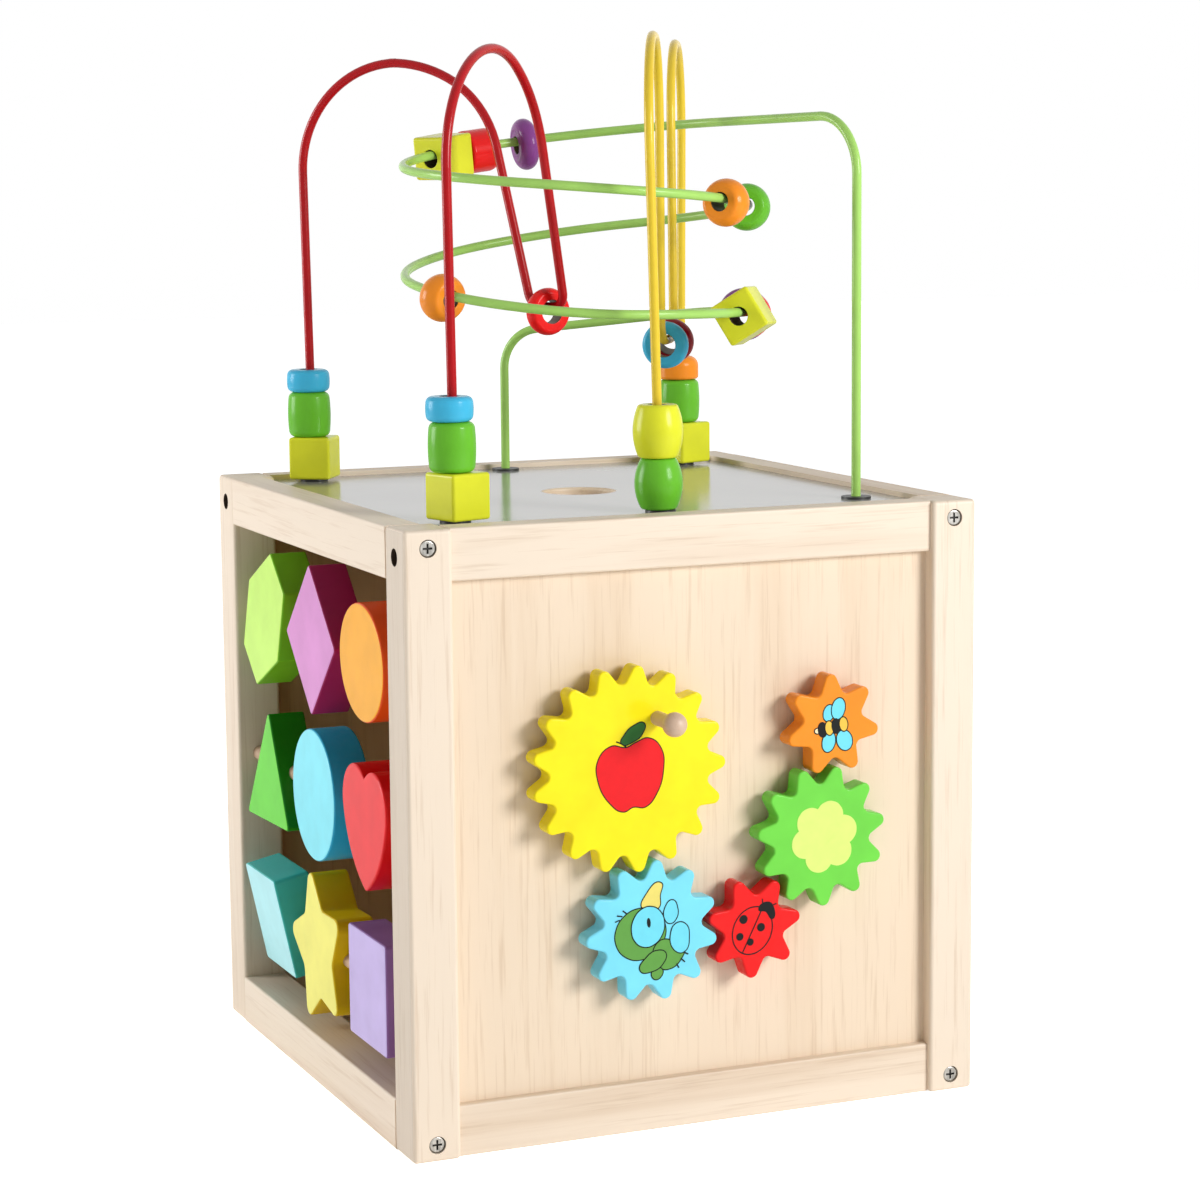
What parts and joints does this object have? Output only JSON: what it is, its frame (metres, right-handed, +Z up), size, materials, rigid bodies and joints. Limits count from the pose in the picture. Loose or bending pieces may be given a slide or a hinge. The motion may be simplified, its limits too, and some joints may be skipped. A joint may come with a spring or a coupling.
{
  "type": "activity cube",
  "caption": "Wooden activity cube: bead maze of bent wires on the lid, meshed toy gears on the front and turning shape blocks on rods in an open side bay.",
  "frame": {"origin": "centre of the underside of the base, on the surface that the cube stands on", "axes": "+Z up, -Y towards the front with the gears, -X towards the open bay with the shape blocks"},
  "size_m": [0.3033, 0.3329, 0.5313],
  "materials": {
    "plywood": "satin clear lacquer",
    "rubberwood": "satin clear lacquer",
    "lid_laminate": "gloss",
    "screw_steel": "plain",
    "birch_dowel": "bare",
    "grommet_black": "matt",
    "wire_red": "gloss coating",
    "wire_yellow": "gloss coating",
    "wire_green": "gloss coating",
    "paint_yellow": "gloss paint",
    "paint_cyan": "gloss paint",
    "paint_red": "gloss paint",
    "paint_green": "gloss paint",
    "paint_orange": "gloss paint",
    "paint_magenta": "gloss paint",
    "paint_purple": "gloss paint",
    "paint_lemon": "gloss paint",
    "paint_crimson": "gloss paint"
  },
  "bodies": {
    "cube": {"front_panel": "plywood", "back_panel": "plywood", "right_panel": "plywood", "top_panel": "lid_laminate", "base_panel": "plywood", "post_front_left": "rubberwood", "post_front_right": "rubberwood", "post_back_left": "rubberwood", "post_back_right": "rubberwood", "top_end_rails": "rubberwood", "top_side_rails": "rubberwood", "bottom_end_rails": "rubberwood", "bottom_side_rails": "rubberwood", "end_screws": "screw_steel", "side_screws": "screw_steel", "shape_rods": "birch_dowel", "gear_pins": "birch_dowel", "red_wire": "wire_red", "yellow_wire": "wire_yellow", "green_wire": "wire_green", "grommets": "grommet_black"},
    "yellow_gear": {"yellow_gear": "paint_yellow", "gear_knob": "birch_dowel"},
    "cyan_gear": {"cyan_gear": "paint_cyan"},
    "red_gear": {"red_gear": "paint_red"},
    "green_gear": {"green_gear": "paint_green"},
    "orange_gear": {"orange_gear": "paint_orange"},
    "block_oval": {"block_oval": "paint_orange"},
    "block_diamond": {"block_diamond": "paint_magenta"},
    "block_hexagon": {"block_hexagon": "paint_green"},
    "block_heart": {"block_heart": "paint_red"},
    "block_circle": {"block_circle": "paint_cyan"},
    "block_triangle": {"block_triangle": "paint_green"},
    "block_square": {"block_square": "paint_purple"},
    "block_star": {"block_star": "paint_yellow"},
    "block_oblong": {"block_oblong": "paint_cyan"},
    "red_front_cube": {"red_front_cube": "paint_lemon"},
    "red_front_barrel": {"red_front_barrel": "paint_green"},
    "red_front_disc": {"red_front_disc": "paint_cyan"},
    "red_back_cube": {"red_back_cube": "paint_lemon"},
    "red_back_barrel": {"red_back_barrel": "paint_green"},
    "red_back_disc": {"red_back_disc": "paint_cyan"},
    "yellow_front_round": {"yellow_front_round": "paint_green"},
    "yellow_front_big_barrel": {"yellow_front_big_barrel": "paint_lemon"},
    "yellow_back_cube": {"yellow_back_cube": "paint_lemon"},
    "yellow_back_barrel": {"yellow_back_barrel": "paint_green"},
    "yellow_back_low_dome": {"yellow_back_low_dome": "paint_orange"},
    "spiral_high_cube": {"spiral_high_cube": "paint_lemon"},
    "spiral_high_dome": {"spiral_high_dome": "paint_red"},
    "spiral_high_lens": {"spiral_high_lens": "paint_purple"},
    "spiral_side_orange": {"spiral_side_orange": "paint_orange"},
    "spiral_side_green": {"spiral_side_green": "paint_green"},
    "spiral_low_orange": {"spiral_low_orange": "paint_orange"},
    "spiral_low_cube": {"spiral_low_cube": "paint_lemon"},
    "spiral_low_red": {"spiral_low_red": "paint_red"},
    "spiral_low_lens": {"spiral_low_lens": "paint_purple"},
    "valley_red_ring": {"valley_red_ring": "paint_red"},
    "valley_cyan_ring": {"valley_cyan_ring": "paint_cyan"},
    "valley_crimson_ring": {"valley_crimson_ring": "paint_crimson"}
  },
  "joints": [
    {"name": "yellow_gear_spin", "type": "hinge", "parent": "cube", "child": "yellow_gear", "pos_m": [-0.0405, -0.146, 0.181], "axis": [0, 1, 0], "continuous": true},
    {"name": "cyan_gear_spin", "type": "hinge", "parent": "cube", "child": "cyan_gear", "pos_m": [-0.0294, -0.146, 0.1015], "axis": [0, 1, 0], "continuous": true},
    {"name": "red_gear_spin", "type": "hinge", "parent": "cube", "child": "red_gear", "pos_m": [0.0247, -0.146, 0.0976], "axis": [0, 1, 0], "continuous": true},
    {"name": "green_gear_spin", "type": "hinge", "parent": "cube", "child": "green_gear", "pos_m": [0.0613, -0.146, 0.1394], "axis": [0, 1, 0], "continuous": true},
    {"name": "orange_gear_spin", "type": "hinge", "parent": "cube", "child": "orange_gear", "pos_m": [0.0675, -0.146, 0.1943], "axis": [0, 1, 0], "continuous": true},
    {"name": "block_oval_turn", "type": "hinge", "parent": "cube", "child": "block_oval", "pos_m": [-0.138, -0.08, 0.229], "axis": [0, 1, 0], "continuous": true},
    {"name": "block_diamond_turn", "type": "hinge", "parent": "cube", "child": "block_diamond", "pos_m": [-0.138, 0, 0.229], "axis": [0, 1, 0], "continuous": true},
    {"name": "block_hexagon_turn", "type": "hinge", "parent": "cube", "child": "block_hexagon", "pos_m": [-0.138, 0.08, 0.229], "axis": [0, 1, 0], "continuous": true},
    {"name": "block_heart_turn", "type": "hinge", "parent": "cube", "child": "block_heart", "pos_m": [-0.138, -0.08, 0.1495], "axis": [0, 1, 0], "continuous": true},
    {"name": "block_circle_turn", "type": "hinge", "parent": "cube", "child": "block_circle", "pos_m": [-0.138, 0, 0.1495], "axis": [0, 1, 0], "continuous": true},
    {"name": "block_triangle_turn", "type": "hinge", "parent": "cube", "child": "block_triangle", "pos_m": [-0.138, 0.08, 0.1495], "axis": [0, 1, 0], "continuous": true},
    {"name": "block_square_turn", "type": "hinge", "parent": "cube", "child": "block_square", "pos_m": [-0.138, -0.08, 0.0685], "axis": [0, 1, 0], "continuous": true},
    {"name": "block_star_turn", "type": "hinge", "parent": "cube", "child": "block_star", "pos_m": [-0.138, 0, 0.0685], "axis": [0, 1, 0], "continuous": true},
    {"name": "block_oblong_turn", "type": "hinge", "parent": "cube", "child": "block_oblong", "pos_m": [-0.138, 0.08, 0.0685], "axis": [0, 1, 0], "continuous": true},
    {"name": "red_front_cube_lift", "type": "slide", "parent": "cube", "child": "red_front_cube", "axis": [-0.0129, -0.0043, 0.9999], "range_m": [0, 0.034]},
    {"name": "red_front_barrel_lift", "type": "slide", "parent": "red_front_cube", "child": "red_front_barrel", "axis": [-0.0129, -0.0043, 0.9999], "range_m": [0, 0.034]},
    {"name": "red_front_disc_lift", "type": "slide", "parent": "red_front_barrel", "child": "red_front_disc", "axis": [-0.0129, -0.0043, 0.9999], "range_m": [0, 0.034]},
    {"name": "red_back_cube_lift", "type": "slide", "parent": "cube", "child": "red_back_cube", "axis": [-0.013, 0.0087, 0.9999], "range_m": [0, 0.034]},
    {"name": "red_back_barrel_lift", "type": "slide", "parent": "red_back_cube", "child": "red_back_barrel", "axis": [-0.013, 0.0087, 0.9999], "range_m": [0, 0.034]},
    {"name": "red_back_disc_lift", "type": "slide", "parent": "red_back_barrel", "child": "red_back_disc", "axis": [-0.013, 0.0087, 0.9999], "range_m": [0, 0.034]},
    {"name": "yellow_front_round_lift", "type": "slide", "parent": "cube", "child": "yellow_front_round", "axis": [-0.0251, 0, 0.9997], "range_m": [0, 0.056]},
    {"name": "yellow_front_big_barrel_lift", "type": "slide", "parent": "yellow_front_round", "child": "yellow_front_big_barrel", "axis": [-0.0251, 0, 0.9997], "range_m": [0, 0.056]},
    {"name": "yellow_back_cube_lift", "type": "slide", "parent": "cube", "child": "yellow_back_cube", "axis": [0.0083, 0, 1], "range_m": [0, 0.035]},
    {"name": "yellow_back_barrel_lift", "type": "slide", "parent": "yellow_back_cube", "child": "yellow_back_barrel", "axis": [0.0083, 0, 1], "range_m": [0, 0.035]},
    {"name": "yellow_back_low_dome_lift", "type": "slide", "parent": "yellow_back_barrel", "child": "yellow_back_low_dome", "axis": [0.0083, 0, 1], "range_m": [0, 0.035]},
    {"name": "spiral_high_cube_slide", "type": "hinge", "parent": "cube", "child": "spiral_high_cube", "pos_m": [-0.00112, 0.00166, 0.47291], "axis": [-0.1094, -0.0518, 0.9926], "range_deg": [0, 20]},
    {"name": "spiral_high_dome_slide", "type": "hinge", "parent": "cube", "child": "spiral_high_dome", "pos_m": [-0.00112, 0.00166, 0.47291], "axis": [-0.1094, -0.0518, 0.9926], "range_deg": [-5, 0]},
    {"name": "spiral_high_lens_slide", "type": "hinge", "parent": "cube", "child": "spiral_high_lens", "pos_m": [0.00083, 0.00191, 0.47629], "axis": [-0.1149, -0.0159, 0.9932], "range_deg": [-24, 0]},
    {"name": "spiral_side_orange_slide", "type": "hinge", "parent": "cube", "child": "spiral_side_orange", "pos_m": [0.00089, -0.00173, 0.4486], "axis": [0.0717, 0.0401, 0.9966], "range_deg": [-12, 6]},
    {"name": "spiral_side_green_slide", "type": "hinge", "parent": "cube", "child": "spiral_side_green", "pos_m": [0.00183, -0.00071, 0.44178], "axis": [0.0123, 0.0901, 0.9959], "range_deg": [0, 20]},
    {"name": "spiral_low_orange_slide", "type": "hinge", "parent": "cube", "child": "spiral_low_orange", "pos_m": [-0.00183, -0.00081, 0.40141], "axis": [0.0477, -0.1149, 0.9922], "range_deg": [-15, 24]},
    {"name": "spiral_low_cube_slide", "type": "hinge", "parent": "cube", "child": "spiral_low_cube", "pos_m": [0.00174, -0.00083, 0.38799], "axis": [-0.0074, 0.0374, 0.9993], "range_deg": [-12, 0]},
    {"name": "spiral_low_red_slide", "type": "hinge", "parent": "cube", "child": "spiral_low_red", "pos_m": [0.00174, -0.00083, 0.38799], "axis": [-0.0074, 0.0374, 0.9993], "range_deg": [-1.2, 1.2]},
    {"name": "spiral_low_lens_slide", "type": "hinge", "parent": "cube", "child": "spiral_low_lens", "pos_m": [0.00238, 0.00006, 0.37843], "axis": [-0.1178, 0.0405, 0.9922], "range_deg": [0, 28]},
    {"name": "valley_red_ring_swing", "type": "hinge", "parent": "cube", "child": "valley_red_ring", "pos_m": [-0.014, 0.0055, 0.393], "axis": [-0.4299, 0.9029, 0], "continuous": true},
    {"name": "valley_cyan_ring_swing", "type": "hinge", "parent": "cube", "child": "valley_cyan_ring", "pos_m": [0.04755, -0.00504, 0.3745], "axis": [0.59, 0.8074, 0], "continuous": true},
    {"name": "valley_crimson_ring_swing", "type": "hinge", "parent": "cube", "child": "valley_crimson_ring", "pos_m": [0.05581, 0.00627, 0.3759], "axis": [0.5611, 0.7679, 0.309], "range_deg": [-70, 70]}
  ],
  "couplings": [
    {"joint": "cyan_gear_spin", "follows": "yellow_gear_spin", "ratio": -1.5455},
    {"joint": "red_gear_spin", "follows": "yellow_gear_spin", "ratio": 2.4286},
    {"joint": "green_gear_spin", "follows": "yellow_gear_spin", "ratio": -1.5455},
    {"joint": "orange_gear_spin", "follows": "yellow_gear_spin", "ratio": 2.4286}
  ]
}
